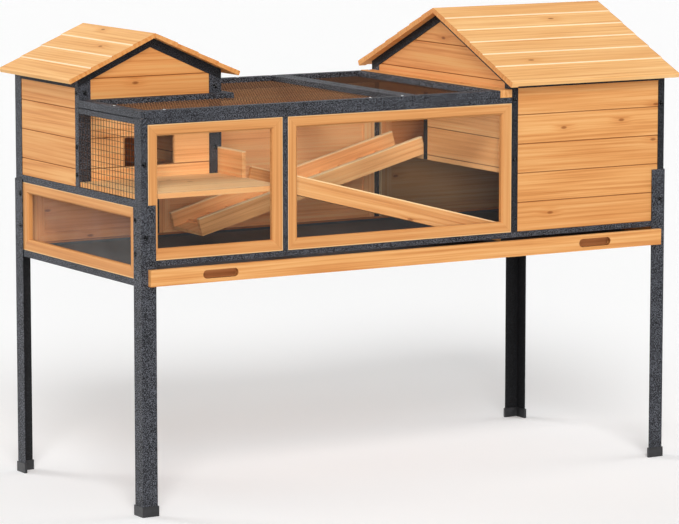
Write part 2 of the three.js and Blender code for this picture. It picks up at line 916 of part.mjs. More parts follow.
// Hinge barrels with the leaf that turns with the piece; the barrel's middle is the joint's axis
function uprightHinge(legEdge, towards, middle) {
  const axisAt = legEdge + towards * (barrelRadius + gap);
  const barrel = new THREE.CylinderGeometry(barrelRadius, barrelRadius, hingeLength, barrelSides)
    .rotateX(Math.PI / 2)
    .translate(axisAt, backPanelFace + barrelRadius + gap, middle);
  const leafTo = axisAt + towards * hingeLeafWidth;
  const leaf = block(
    [Math.min(axisAt, leafTo), backPanelFace - hingeRoot, middle - hingeLength / 2],
    [Math.max(axisAt, leafTo), backPanelFace + hingeLeaf, middle + hingeLength / 2],
  );
  return join(barrel, leaf);
}

const doorBottom = sideRailTop + doorGap;

// A door hangs beside a leg, from the leg's edge towards the middle of the frame
function backDoor(name, from, to, top, legEdge, towards) {
  const door = framedPanel(to - from, top - doorBottom, [to, backPanelFace, doorBottom]);
  const reach = hingeInset + hingeLength / 2;
  const lower = uprightHinge(legEdge, towards, doorBottom + reach);
  const upper = uprightHinge(legEdge, towards, top - reach);
  piece(name, door.add(lower).add(upper), innerPine);
}

const leftDoorFrom = legFlange + doorGap / 2;
const rightDoorTo = frameLength - legFlange - doorGap / 2;
backDoor('left_house_back_door', leftDoorFrom, leftWallTo - doorGap, leftDoorTop, legFlange, 1);
backDoor(
  'right_house_back_door',
  rightHouseLeft + narrowFlange + doorGap,
  rightDoorTo,
  rightDoorTop,
  frameLength - legFlange,
  -1,
);

// Tray: a shallow box on the side rails' level flanges, and its front board before the legs

const trayLeft = legFlange + trayClearance;
const trayRight = frameLength - trayLeft;
const trayBottom = cageBottom + steelWall + gap;
const trayTop = trayBottom + traySideHeight;
const trayBack = sideBayEnd;
const trayInnerLeft = trayLeft + traySide;
const trayInnerRight = trayRight - traySide;
const trayFrontWall = fingerRoom + traySide;
const trayWalls = [
  [trayLeft, 0],
  [trayInnerLeft, 0],
  [trayInnerLeft, fingerRoom],
  [trayInnerRight, fingerRoom],
  [trayInnerRight, 0],
  [trayRight, 0],
  [trayRight, trayBack],
  [trayLeft, trayBack],
];
const trayInner = rectangle(trayInnerLeft, trayFrontWall, trayInnerRight, trayBack - traySide);
const trayFloorTop = trayBottom + trayFloorLift + trayFloor;
piece(
  'tray_box',
  join(
    prismZ(trayWalls, trayBottom, trayTop, [trayInner]),
    block(
      [trayInnerLeft - traySide / 2, trayFrontWall - traySide / 2, trayBottom + trayFloorLift],
      [trayInnerRight + traySide / 2, trayBack - traySide / 2, trayFloorTop],
    ),
  ),
  innerPine,
);

// A finger slot is a stadium: two half rounds joined by straight sides
function slot(middleX, middleZ) {
  const radius = slotHeight / 2;
  const half = slotLength / 2 - radius;
  const arc = new THREE.Path()
    .absarc(middleX + half, middleZ, radius, -Math.PI / 2, Math.PI / 2, false)
    .absarc(middleX - half, middleZ, radius, Math.PI / 2, 3 * Math.PI / 2, false);
  return arc.getPoints(slotSides).map(({ x, y }) => [x, y]);
}

const trayFrontFrom = trayFrontMargin;
const trayFrontTo = frameLength - trayFrontMargin;
const trayFrontTop = trayFrontBottom + trayFrontHeight;
const slotLevel = trayFrontBottom + trayFrontHeight / 2;
piece(
  'tray_front',
  prismY(
    rectangle(trayFrontFrom, trayFrontBottom, trayFrontTo, trayFrontTop),
    -gap - trayFrontThickness,
    -gap,
    [
      slot(trayFrontFrom + leftSlotMargin, slotLevel),
      slot(trayFrontTo - rightSlotMargin, slotLevel),
    ],
  ),
  pine,
);

// Lids: the fixed one goes round the left house, the hinged one opens at the back

const lidBottom = topRailTop + gap;
const lidTop = lidBottom + lidHeight;
const battenFrom = middleBayEnd - battenWidth;
const hingedTo = battenFrom - gap;
const hingedFrom = hingedTo - hingedLidLength;
const fixedTo = hingedFrom - gap;

// The L round the left house, its rails grown inwards by a margin
const roundTheHouse = (margin) => [
  [left + margin, front + margin],
  [fixedTo - margin, front + margin],
  [fixedTo - margin, back - margin],
  [middleBayStart + margin, back - margin],
  [middleBayStart + margin, leftHouseFront - gap - margin],
  [left + margin, leftHouseFront - gap - margin],
];
const stripBack = leftHouseFront - gap - lidRail;
const passage = middleBayStart + lidRail;
const fixedNet = netSheet(
  wiresThrough(left + lidRail, passage, fixedTo - lidRail),
  wiresThrough(front + lidRail, stripBack, back - lidRail),
  (x, y) => x < passage - netWire && y > stripBack + netWire,
).translate(0, 0, lidBottom + netWire);
piece(
  'fixed_lid',
  join(prismZ(roundTheHouse(0), lidBottom, lidTop, [roundTheHouse(lidRail)]), fixedNet),
  hammeredSteel,
);

function lidHinge(middle) {
  const axisAt = back + barrelRadius + gap;
  const barrel = new THREE.CylinderGeometry(barrelRadius, barrelRadius, hingeLength, barrelSides)
    .rotateZ(Math.PI / 2)
    .translate(middle, axisAt, lidBottom);
  const leaf = block(
    [middle - hingeLength / 2, back - hingeRoot, lidBottom],
    [middle + hingeLength / 2, back + hingeLeaf, lidBottom + hingeLeafWidth],
  );
  return join(barrel, leaf);
}

const hingedOutline = (margin) =>
  rectangle(hingedFrom + margin, front + margin, hingedTo - margin, back - margin);
const hingedNet = netSheet(
  wiresThrough(hingedFrom + lidRail, hingedTo - lidRail),
  wiresThrough(front + lidRail, back - lidRail),
).translate(0, 0, lidBottom + netWire);
const hingedReach = hingeInset + hingeLength / 2;
piece(
  'hinged_lid',
  join(prismZ(hingedOutline(0), lidBottom, lidTop, [hingedOutline(lidRail)]), hingedNet)
    .add(lidHinge(hingedFrom + hingedReach))
    .add(lidHinge(hingedTo - hingedReach)),
  hammeredSteel,
);
piece(
  'lid_batten',
  block([battenFrom, front, lidBottom], [middleBayEnd, back, lidBottom + battenHeight]),
  pine,
);

// The origin lies on the ground, under the middle of the whole
const leftmost = leftRoof.ridge - leftReach;
habitat.position.set(-(leftmost + rightRoofTo) / 2, -rightRoof.ridge, 0);

export default habitat;
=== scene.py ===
import math

import bmesh
import bpy
from mathutils import Matrix, Vector


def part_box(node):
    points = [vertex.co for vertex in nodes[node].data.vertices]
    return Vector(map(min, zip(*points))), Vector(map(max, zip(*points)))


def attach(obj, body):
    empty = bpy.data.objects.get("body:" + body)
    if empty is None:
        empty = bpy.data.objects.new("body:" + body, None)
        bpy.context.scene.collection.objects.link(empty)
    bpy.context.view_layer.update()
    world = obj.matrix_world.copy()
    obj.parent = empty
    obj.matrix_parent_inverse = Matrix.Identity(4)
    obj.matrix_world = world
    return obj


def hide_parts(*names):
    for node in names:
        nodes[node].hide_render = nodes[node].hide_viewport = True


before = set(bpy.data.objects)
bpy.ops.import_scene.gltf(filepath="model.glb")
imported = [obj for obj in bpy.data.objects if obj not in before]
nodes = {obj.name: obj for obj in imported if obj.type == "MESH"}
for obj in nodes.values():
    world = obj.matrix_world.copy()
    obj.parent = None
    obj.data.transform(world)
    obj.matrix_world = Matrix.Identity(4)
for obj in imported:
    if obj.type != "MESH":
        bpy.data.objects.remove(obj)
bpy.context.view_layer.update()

# Places are given in millimetres from the outer corner of the front left leg
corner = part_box("leg_front_left")[0]

toRight, toBack, toTop = (1, 0, 0), (0, 1, 0), (0, 0, 1)
toLeft, toFront, toBottom = (-1, 0, 0), (0, -1, 0), (0, 0, -1)
level, deep, upright = toRight, toBack, toTop  # the way a board or a rod runs


def mm(value):
    return value / 1000


def spot(x, y, z):
    return Vector((mm(x) + corner.x, mm(y) + corner.y, mm(z)))


# Camera

view = {"lens": 199.83, "sensor": 36, "clip": 60, "at": (-3934.8, -7460.5, 1772.1),
        "turn": -30.847, "down": 7.998}

camera = bpy.data.objects.new("camera", bpy.data.cameras.new("camera"))
bpy.context.scene.collection.objects.link(camera)
camera.data.sensor_width = view["sensor"]
camera.data.lens = view["lens"]
camera.data.clip_end = view["clip"]
camera.location = spot(*view["at"])
camera.rotation_euler = (math.radians(90 - view["down"]), 0, math.radians(view["turn"]))
bpy.context.scene.camera = camera
bpy.context.scene.view_settings.view_transform = "Standard"


def srgb(red, green, blue):
    # an 8-bit colour as it is seen, made linear
    def linear(value):
        value = value / 255
        return value / 12.92 if value <= 0.04045 else ((value + 0.055) / 1.055) ** 2.4

    return (linear(red), linear(green), linear(blue), 1.0)


class Field:
    # A shader's socket that takes part in plain arithmetic
    def __init__(self, tree, socket=None):
        self.tree = tree
        self.socket = socket

    def node(self, kind, settings=None, sockets=None, out=0):
        made = self.tree.nodes.new(kind)
        for key, value in (settings or {}).items():
            if key == "stops":
                elements = made.color_ramp.elements
                while len(elements) < len(value):
                    elements.new(1)
                for element, (position, colour) in zip(elements, value):
                    element.position = position
                    element.color = colour
            else:
                setattr(made, key, value)
        for key, value in (sockets or {}).items():
            if isinstance(value, Field):
                self.tree.links.new(value.socket, made.inputs[key])
            else:
                made.inputs[key].default_value = value
        return Field(self.tree, made.outputs[out])

    def also(self, out):
        # another output of the same node
        return Field(self.tree, self.socket.node.outputs[out])

    def maths(self, operation, *values):
        return self.node("ShaderNodeMath", {"operation": operation}, dict(enumerate(values)))

    def __add__(self, other):
        return self.maths("ADD", self, other)

    def __sub__(self, other):
        return self.maths("SUBTRACT", self, other)

    def __rsub__(self, other):
        return self.maths("SUBTRACT", other, self)

    def __mul__(self, other):
        return self.maths("MULTIPLY", self, other)

    def __truediv__(self, other):
        return self.maths("DIVIDE", self, other)

    def __pow__(self, other):
        return self.maths("POWER", self, other)

    def __lt__(self, other):
        return self.maths("LESS_THAN", self, other)

    def __gt__(self, other):
        return self.maths("GREATER_THAN", self, other)

    def __abs__(self):
        return self.maths("ABSOLUTE", self)

    __radd__ = __add__
    __rmul__ = __mul__


def least(a, b):
    return a.maths("MINIMUM", a, b)


def most(a, b):
    return a.maths("MAXIMUM", a, b)


def whole(value):
    return value.maths("FLOOR", value)


def fade(value, low, high):
    # 1 up to low, falling smoothly to 0 at high
    sockets = {"Value": value, "From Min": low, "From Max": high, "To Min": 1.0, "To Max": 0.0}
    return value.node("ShaderNodeMapRange", {"interpolation_type": "SMOOTHSTEP"}, sockets)


def pick(mask, yes, no):
    return mask * yes + (1 - mask) * no


def vector(x, y, z):
    return x.node("ShaderNodeCombineXYZ", None, {0: x, 1: y, 2: z})


def part(source, axis):
    return source.node("ShaderNodeSeparateXYZ", None, {0: source}, axis)


def chance(value):
    settings = {"noise_dimensions": "1D"}
    return value.node("ShaderNodeTexWhiteNoise", settings, {"W": value}, "Color")


def noise(where, scale=1.0, detail=2.0):
    sockets = {"Vector": where, "Scale": scale, "Detail": detail, "Roughness": 0.5}
    return where.node("ShaderNodeTexNoise", {"noise_dimensions": "3D"}, sockets)


def blendColour(amount, low, high, kind="MIX"):
    settings = {"data_type": "RGBA", "blend_type": kind}
    return amount.node("ShaderNodeMix", settings, {0: amount, 6: low, 7: high}, 2)


def ramp(value, stops):
    return value.node("ShaderNodeValToRGB", {"stops": stops}, {0: value})


def finish(name, paint, fixed=None, bump=None):
    # paint gives what feeds the shader, fixed the plain values, bump the depth and strength
    material = bpy.data.materials.new(name)
    material.use_nodes = True
    tree = material.node_tree
    shader = tree.nodes["Principled BSDF"]
    for socket, value in (fixed or {}).items():
        shader.inputs[socket].default_value = value
    root = Field(tree)
    feeds = paint(root.node("ShaderNodeTexCoord", out="Object"))
    height = feeds.pop("Height", None)
    if height is not None:
        settings = {"Height": height, "Distance": bump[0], "Strength": bump[1]}
        feeds["Normal"] = root.node("ShaderNodeBump", None, settings)
    for socket, field in feeds.items():
        tree.links.new(field.socket, shader.inputs[socket])
    return material


def dress(obj, material):
    obj.data.materials.clear()
    obj.data.materials.append(material)


# Stage: floor, backdrop and lamps

stageLook = {
    "side": 30.0, "matt": 0.9, "sky": 0.3,
    "floor": srgb(250, 250, 250), "bounce": srgb(190, 190, 190),
    "glow": (0.11, 0.11, 0.11, 1), "dark": (0, 0, 0, 1),
    "suns": {  # strength, breadth in degrees and the way each one shines
        "key": (1.74, 22, (0.37, 0.72, -0.56)),
        "fill": (1.1, 16, (0.49, 0.86, -0.13)),
        "left": (0.15, 40, (0.95, -0.1, -0.12)),
        "right": (1.1, 40, (-0.95, 0.1, -0.2)),
        "back": (1.5, 30, (0.55, -0.8, -0.25)),
    },
}


def raysShown(tree):
    # 1 where the camera, a reflection or a pane looks at the backdrop, 0 for its light
    rays = Field(tree).node("ShaderNodeLightPath", out="Is Camera Ray")
    return most(most(rays, rays.also("Is Glossy Ray")), rays.also("Is Transmission Ray"))


def makeStage():
    mesh = bpy.data.meshes.new("floor")
    half = stageLook["side"] / 2
    corners = [(-half, -half, 0), (half, -half, 0), (half, half, 0), (-half, half, 0)]
    mesh.from_pydata(corners, [], [(0, 1, 2, 3)])
    floor = bpy.data.objects.new("floor", mesh)
    bpy.context.scene.collection.objects.link(floor)
    paint = bpy.data.materials.new("paleFloor")
    paint.use_nodes = True
    shader = paint.node_tree.nodes["Principled BSDF"]
    shader.inputs["Roughness"].default_value = stageLook["matt"]
    shader.inputs["Emission Strength"].default_value = 1.0
    shown = raysShown(paint.node_tree)
    for socket, lit, seen in (("Base Color", "bounce", "floor"),
                              ("Emission Color", "dark", "glow")):
        colour = blendColour(shown, stageLook[lit], stageLook[seen])
        paint.node_tree.links.new(colour.socket, shader.inputs[socket])
    dress(floor, paint)

    world = bpy.data.worlds.new("studio")
    bpy.context.scene.world = world
    world.use_nodes = True
    tree = world.node_tree
    strength = pick(raysShown(tree), 1.0, stageLook["sky"])
    background = tree.nodes["Background"]
    background.inputs["Color"].default_value = (1, 1, 1, 1)
    tree.links.new(strength.socket, background.inputs["Strength"])

    for name, (power, breadth, aim) in stageLook["suns"].items():
        lamp = bpy.data.objects.new(name, bpy.data.lights.new(name, "SUN"))
        lamp.data.energy = power
        lamp.data.angle = math.radians(breadth)
        lamp.rotation_euler = Vector(aim).to_track_quat("-Z", "Y").to_euler()
        bpy.context.scene.collection.objects.link(lamp)


makeStage()
print("stage ready")

# Wood: honey-stained pine boards with streaks, growth rings and a few knots

wood = {
    "light": srgb(237, 182, 119), "middle": srgb(226, 162, 98), "dark": srgb(198, 128, 69),
    # edge is the colour of the painted highlights where edges catch the light
    "knot": srgb(134, 72, 32), "seam": srgb(122, 66, 28), "edge": srgb(255, 216, 160),
    "endGrain": (0.8, 0.64, 0.5, 1),
    "undivided": 10.0,  # the width, in metres, that stands for a piece of one board
    "cutAlong": 6.0, "cutAcross": 3.0,  # how far apart in the trunk two boards may be cut
    # grain: turns in a metre along, across and through the board, then detail
    "warp": (1.1, 7, 7, 2.0), "streak": (2.4, 130, 60, 3.0), "patch": (3.5, 16, 16, 2.0),
    "fibre": (30, 900, 900, 1.0), "line": (5, 420, 420, 2.0), "ringsPerMetre": 90,
    # knots, and below them the widths in metres over which joints and the painted edge highlights
    # fade
    "knotsPerMetre": 2.1, "knotRows": 12, "knotSpread": 0.6, "knotStretch": 0.4,
    "eye": (0.0016, 0.0046), "swirl": (0.002, 0.02),
    "jointWidth": (0.0002, 0.0009), "easedWidth": (0.0012, 0.0026), "lapWidth": (0.001, 0.0022),
    "rimWidth": (0.002, 0.004), "seamWidth": (0.0004, 0.0018), "endDepth": 0.0012,
}


def woodLike(light, middle, dark, edge=None):
    look = {**wood, "light": srgb(*light), "middle": srgb(*middle), "dark": srgb(*dark)}
    if edge:
        look["edge"] = srgb(*edge)
    return look


# the roof, pen, deck and inner copies are lighter than the pine: painted light, standing for the
# strong light from above on the roofs and deck and lifting the dim inside of the pen
roofLitWood = woodLike((254, 208, 146), (246, 190, 124), (224, 156, 90), (255, 240, 208))
penLitWood = woodLike((255, 208, 145), (252, 190, 125), (226, 156, 93), (255, 222, 172))
deckLitWood = woodLike((255, 222, 166), (255, 212, 152), (255, 196, 134))
innerLitWood = woodLike((255, 208, 146), (255, 190, 128), (230, 156, 98))
frameWood = woodLike((225, 168, 108), (215, 151, 91), (198, 132, 76))
trayWood = woodLike((206, 140, 90), (188, 120, 72), (158, 96, 54))


def woodFinish(name, look, grain, across, seam=0.0, board=None, panel=None, knots=0.5, laps=(),
               ends=None, rims=(), tints=()):
    # grain and across are directions; seam is where a board begins along across, laps and rims
    # are painted highlights where an edge catches the light, and ends are where lapped boards begin
    # and end; each tint, painted shade, has its colour, then directions and how far along each it
    # begins
    through = Vector(grain).cross(Vector(across))
    width = board or look["undivided"]

    def paint(place):
        def run(direction):
            settings, sockets = {"operation": "DOT_PRODUCT"}, {0: place, 1: direction}
            return place.node("ShaderNodeVectorMath", settings, sockets, "Value")

        along, over, depth = run(grain), run(across) - seam, run(through)
        number = whole(over / width)
        if panel:
            # a mitred frame: rails and field run level, stiles run upright
            low, high, member = panel
            middle = ((low[0] + high[0]) / 2, (low[1] + high[1]) / 2)
            fromSide = least(along - low[0], high[0] - along)
            fromEnd = least(over - low[1], high[1] - over)
            field = (fromSide > member) * (fromEnd > member)
            lying = most(fromEnd < fromSide, field)
            number = lying * 3 + field * 5 + pick(lying, over > middle[1], along > middle[0]) * 7
            joint = fade(abs(fromSide - fromEnd), *look["jointWidth"])
            joint = joint * (1 - field) * (least(fromSide, fromEnd) < member)
            edgeHighlight = fade(least(fromSide, fromEnd), *look["easedWidth"])
            along, over = pick(lying, along, over), pick(lying, over, along)
        luck = chance(number + 0.37 + width * 3.1)
        shift, offset, flip = part(luck, 0), part(luck, 1), part(luck, 2)
        begin = along + shift * look["cutAlong"]
        side = over + offset * look["cutAcross"]

        # knots lie one to a cell, and only in some cells
        if board:
            row = number + 0.5 + (over / board - number - 0.5) * look["knotSpread"]
            reach = board / look["knotSpread"]
        else:
            row, reach = side * look["knotRows"], 1 / look["knotRows"]
        cells = vector(begin * look["knotsPerMetre"], row, depth * 0)
        settings = {"voronoi_dimensions": "2D", "feature": "F1"}
        sockets = {"Vector": cells, "Scale": 1.0}
        centre = cells.node("ShaderNodeTexVoronoi", settings, sockets, "Position")
        stretch = look["knotStretch"] / look["knotsPerMetre"]
        offAlong = (part(cells, 0) - part(centre, 0)) * stretch
        offOver = (part(cells, 1) - part(centre, 1)) * reach
        far = (offAlong * offAlong + offOver * offOver) ** 0.5
        present = part(centre.also("Color"), 0) < knots
        swirl = fade(far, *look["swirl"]) * present
        eye = fade(far, *look["eye"]) * present

        def grained(kind, bend=None):
            perAlong, perAcross, perDepth, detail = look[kind]
            where = side * perAcross
            if bend:
                where = where + bend
            return noise(vector(begin * perAlong, where, depth * perDepth), 1.0, detail)

        streak, patch = grained("streak", swirl * 0.6), grained("patch")
        fibre, line = grained("fibre"), grained("line")
        phase = side * look["ringsPerMetre"] + grained("warp") * 3.2 + swirl * 0.4
        ring = phase.maths("SINE", phase * (2 * math.pi)) * 0.5 + 0.5
        tone = (streak * 0.62 + line * 0.26 + (1 - ring ** 2.5) * 0.07 + patch * 0.26
                - swirl * 0.1 - 0.1)
        colour = ramp(tone, [(0.34, look["dark"]), (0.51, look["middle"]), (0.66, look["light"])])
        for amount, shade in ((flip * 0.28, "dark"), (fibre * 0.16, "dark"), (eye * 0.75, "knot")):
            colour = blendColour(amount, colour, look[shade])
        if ends:
            # painted highlights where the laps catch the light on the boards' faces, and their ends
            # are end grain
            face = (along > ends[0] + look["endDepth"]) * (along < ends[1] - look["endDepth"])
            for lap in laps:
                lit = fade(abs(over + (seam - lap)), *look["lapWidth"]) * face
                colour = blendColour(lit * 0.65, colour, look["edge"])
            colour = blendColour(1 - face, colour, look["endGrain"], "MULTIPLY")
        # painted highlights along the rims
        for way, limit in rims:
            lit = fade(limit - run(way), *look["rimWidth"])
            colour = blendColour(lit * 0.9, colour, look["edge"])
        for tint, *places in tints:
            reached = math.prod(run(way) > limit for way, limit in places)
            colour = blendColour(reached, colour, (*tint, 1), "MULTIPLY")
        if board and not ends:
            fromSeam = (over / board - number) * board
            nearSeam = fade(least(fromSeam, board - fromSeam), *look["seamWidth"])
            colour = blendColour(nearSeam * 0.68, colour, look["seam"])
        if panel:
            # painted highlights along the frame's edges, then its dark mitre joints
            colour = blendColour(edgeHighlight * 0.6, colour, look["edge"])
            colour = blendColour(joint * 0.16, colour, look["seam"])
        return {
            "Base Color": colour,
            "Roughness": 0.48 + streak * 0.22,
            "Height": fibre * 0.5 + ring * 0.3 - eye * 0.6,
        }

    return finish(name, paint, {"Specular IOR Level": 0.14}, (0.0004, 0.35))


# Steel: blue-grey powder coat with a hammered grain

steel = {"low": srgb(6, 7, 9), "middle": srgb(26, 27, 31), "high": srgb(100, 102, 110),
         "inside": srgb(9, 9, 10), "insideDarkening": 0.88, "insideFrom": 1,
         "grains": 500, "stretch": 0.5, "fine": 1000, "patches": 26, "shades": 30}


def steelPaint(place):
    # the grain is drawn out from front to back, along the side faces
    place = vector(part(place, 0), part(place, 1) * steel["stretch"], part(place, 2))
    grain = noise(place, steel["grains"], 1.0)
    fine = noise(place, steel["fine"], 1.0)
    patch = noise(place, steel["patches"], 2.0)
    tone = grain * 0.8 + fine * 0.2 + patch * 0.1 - 0.05
    stops = [(0.41, steel["low"]), (0.50, steel["middle"]), (0.60, steel["high"])]
    return {
        "Base Color": ramp(tone, stops),
        "Roughness": 0.5 + fine * 0.25,
        "Height": grain * 0.8 + fine * 0.4,
    }


def legPaint(place):
    # the legs' inner faces are darker than the outer ones
    feeds = steelPaint(place)
    low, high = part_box("leg_front_left")[0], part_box("leg_back_right")[1]
    wall = mm(steel["insideFrom"])
    inside = 1.0
    for axis in (0, 1):
        where = part(place, axis)
        inside = (where > low[axis] + wall) * (where < high[axis] - wall) * inside
    amount = inside * steel["insideDarkening"]
    feeds["Base Color"] = blendColour(amount, feeds["Base Color"], steel["inside"])
    return feeds


def shadePaint(place):
    # painted shade: the rafters and the large house's posts are darkened
    feeds = steelPaint(place)
    amount = noise(place, steel["shades"]) * 0.2 + 0.55
    feeds["Base Color"] = blendColour(amount, feeds["Base Color"], steel["inside"])
    return feeds


hammeredSteel = finish("hammeredSteel", steelPaint, {"Specular IOR Level": 0.2}, (0.0009, 0.7))
legSteel = finish("legSteel", legPaint, {"Specular IOR Level": 0.2}, (0.0009, 0.7))
shadedSteel = finish("shadedSteel", shadePaint, {"Specular IOR Level": 0.15}, (0.0006, 0.6))

# Bolts, screws and hinges: plain metal with smears, and painted glints on the dark bolts


def smearsAndGlints(name, scale, detail, stops, rough, spread, fixed):
    def paint(place):
        smearAndGlint = noise(place, scale, detail)
        return {"Base Color": ramp(smearAndGlint, stops), "Roughness": rough + smearAndGlint * spread}

    return finish(name, paint, fixed)


# painted glints: rare bright spots on the dark bolts' heads
darkBolt = smearsAndGlints("darkBolt", 700, 2.0, [(0.6, srgb(4, 4, 5)), (0.68, srgb(170, 172, 177))],
                        0.34, 0.2, {"Specular IOR Level": 0.03})
zincSteel = smearsAndGlints("zincSteel", 420, 3.0,
                         [(0.3, srgb(150, 152, 156)), (0.7, srgb(214, 216, 219))],
                         0.25, 0.25, {"Metallic": 0.9})

# Caps of black plastic

plastic = {"low": srgb(22, 22, 24), "high": srgb(50, 50, 54), "grains": 900, "scuffs": 55}


def plasticPaint(place):
    grain = noise(place, plastic["grains"], 2.0)
    scuff = fade(noise(place, plastic["scuffs"], 4.0), 0.36, 0.5)
    return {
        "Base Color": blendColour(scuff * 0.5 + grain * 0.2, plastic["low"], plastic["high"]),
        "Roughness": 0.5 + scuff * 0.2,
        "Height": grain,
    }


blackPlastic = finish("blackPlastic", plasticPaint, None, (0.0003, 0.4))

# Net: brown wire, with painted highlights at the welds of the lids

net = {"pitch": 13.6, "wire": 1.2, "sides": 6, "first": 11.1, "coats": 340,
       "low": srgb(34, 22, 16), "high": srgb(76, 50, 36), "weldHighlight": srgb(172, 126, 88)}


def wireFinish(name, weldHighlight):
    def paint(place):
        coat = noise(place, net["coats"], 2.0)
        colour = ramp(coat, [(0.35, net["low"]), (0.65, net["high"])])
        # painted highlights at the welds, which lie one to a pitch and stand up
        turns = (part(place, 0) - spot(net["first"], 0, 0).x) / mm(net["pitch"])
        weld = 1 - fade(abs(turns - whole(turns) - 0.5), 0.28, 0.4)
        colour = blendColour(weld * weldHighlight, colour, net["weldHighlight"])
        return {"Base Color": colour, "Roughness": 0.55 + coat * 0.25}

    return finish(name, paint, {"Specular IOR Level": 0.25})


brownWire = wireFinish("brownWire", 0.0)
lidWire = wireFinish("lidWire", 0.9)
hingedLidWire = wireFinish("hingedLidWire", 0.25)

# Panes and the tray's lining

acrylic = {"low": srgb(226, 232, 232), "high": srgb(238, 242, 241), "hazes": 9, "wipes": 60}


def acrylicFinish(name, clouding):
    def paint(place):
        haze = noise(place, acrylic["hazes"], 3.0)
        wipe = noise(place, acrylic["wipes"], 2.0)
        return {
            "Base Color": ramp(haze, [(0.3, acrylic["low"]), (0.7, acrylic["high"])]),
            "Roughness": 0.04 + wipe * 0.05,
            "Alpha": (0.3 + haze) * clouding,
        }

    return finish(name, paint, {"IOR": 1.2, "Specular IOR Level": 0.25})


clearAcrylic = acrylicFinish("clearAcrylic", 0.012)
hazyAcrylic = acrylicFinish("hazyAcrylic", 0.045)

sheet = {"low": srgb(42, 47, 53), "high": srgb(68, 74, 80), "grains": 650, "creases": 14}


def liningPaint(place):
    grain = noise(place, sheet["grains"], 2.0)
    crease = noise(place, sheet["creases"], 4.0)
    return {
        "Base Color": ramp(grain * 0.6 + crease * 0.4, [(0.3, sheet["low"]), (0.7, sheet["high"])]),
        "Roughness": 0.62 + grain * 0.2,
        "Height": grain * 0.3 + crease,
    }


darkLining = finish("darkLining", liningPaint, None, (0.0012, 0.5))
print("finishes ready")

# The carried-over nodes: how their boards run and where painted shade darkens them

boards = {
    "wall": 70, "deck": 98, "doorMember": 32, "windowMember": 26,
    "longRamp": 14.6, "shortRamp": -14.7,  # slopes in degrees
    # where a board begins: in the small house, in the large one's front and in its sides
    "smallSeam": 767, "frontSeam": 588.3, "sideSeam": 738,
}
shades = {
    # painted shade: above the lids the gables are darkened, taking back the pen copy's painted
    # light
    "gable": (0.77, 0.66, 0.54), "gableFrom": 920,
    # painted shade on the deck's front and left edge faces, taking back its painted top light
    "deckFrontShade": (0.78, 0.62, 0.5), "deckLeftShade": (0.78, 0.58, 0.42), "deckEdge": 0.5,
    # painted shade on the walls inside the tray front's finger slots
    "slotWallShade": (0.46, 0.36, 0.3), "slotInset": (8, 1, 4),
    # painted shade on the doors' inner faces, in the houses' rooms and darker below their floors
    "doorDepth": 5, "houseFloor": 732,
    "smallDoorShade": ((1.0, 0.8, 0.68), (0.76, 0.6, 0.52)),
    "largeDoorShade": ((1.0, 0.82, 0.76), (0.42, 0.44, 0.49)),
}


def plain(name, look, grain, across, tints=()):
    return woodFinish(name + "Pine", look, grain, across, tints=tints)


def boarded(name, look, grain, across, seam, board, knots=0.4, tints=()):
    return woodFinish(name + "Pine", look, grain, across, mm(seam), mm(board), knots=knots,
                      tints=tints)


def framed(name, look, sideAxis, member, tints=()):
    low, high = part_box(name)
    axis = 0 if sideAxis == level else 1
    panel = ((low[axis], low.z), (high[axis], high.z), mm(member))
    return woodFinish(name + "Pine", look, sideAxis, upright, panel=panel, knots=0.35, tints=tints)


def rimmed(name, look, grain, across):
    # boards with a painted highlight along their upper edges, where they catch the light
    rim = max(Vector(across).dot(vertex.co) for vertex in nodes[name].data.vertices)
    return woodFinish(name + "Pine", look, grain, across, rims=[(across, rim)])


def sloping(degrees):
    slope = math.radians(degrees)
    return (math.cos(slope), 0, math.sin(slope))


def atFront(name, depth):
    return (toFront, -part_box(name)[0].y - mm(depth))


def atLeft(name, depth):
    return (toLeft, -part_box(name)[0].x - mm(depth))


def within(name, x, y, z):
    # further inside a node's box than this from each of its sides
    low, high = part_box(name)
    return ((toRight, low.x + mm(x)), (toLeft, mm(x) - high.x),
            (toBack, low.y + mm(y)), (toFront, mm(y) - high.y),
            (toTop, low.z + mm(z)), (toBottom, mm(z) - high.z))


def doorInnerShade(kind):
    # painted shade on a door's inner face, in the room and below the house floor
    inside = atFront("right_house_back_door", shades["doorDepth"])
    floor = mm(shades["houseFloor"])
    inRoom, below = shades[kind]
    return [(inRoom, inside, (toTop, floor)), (below, inside, (toBottom, -floor))]


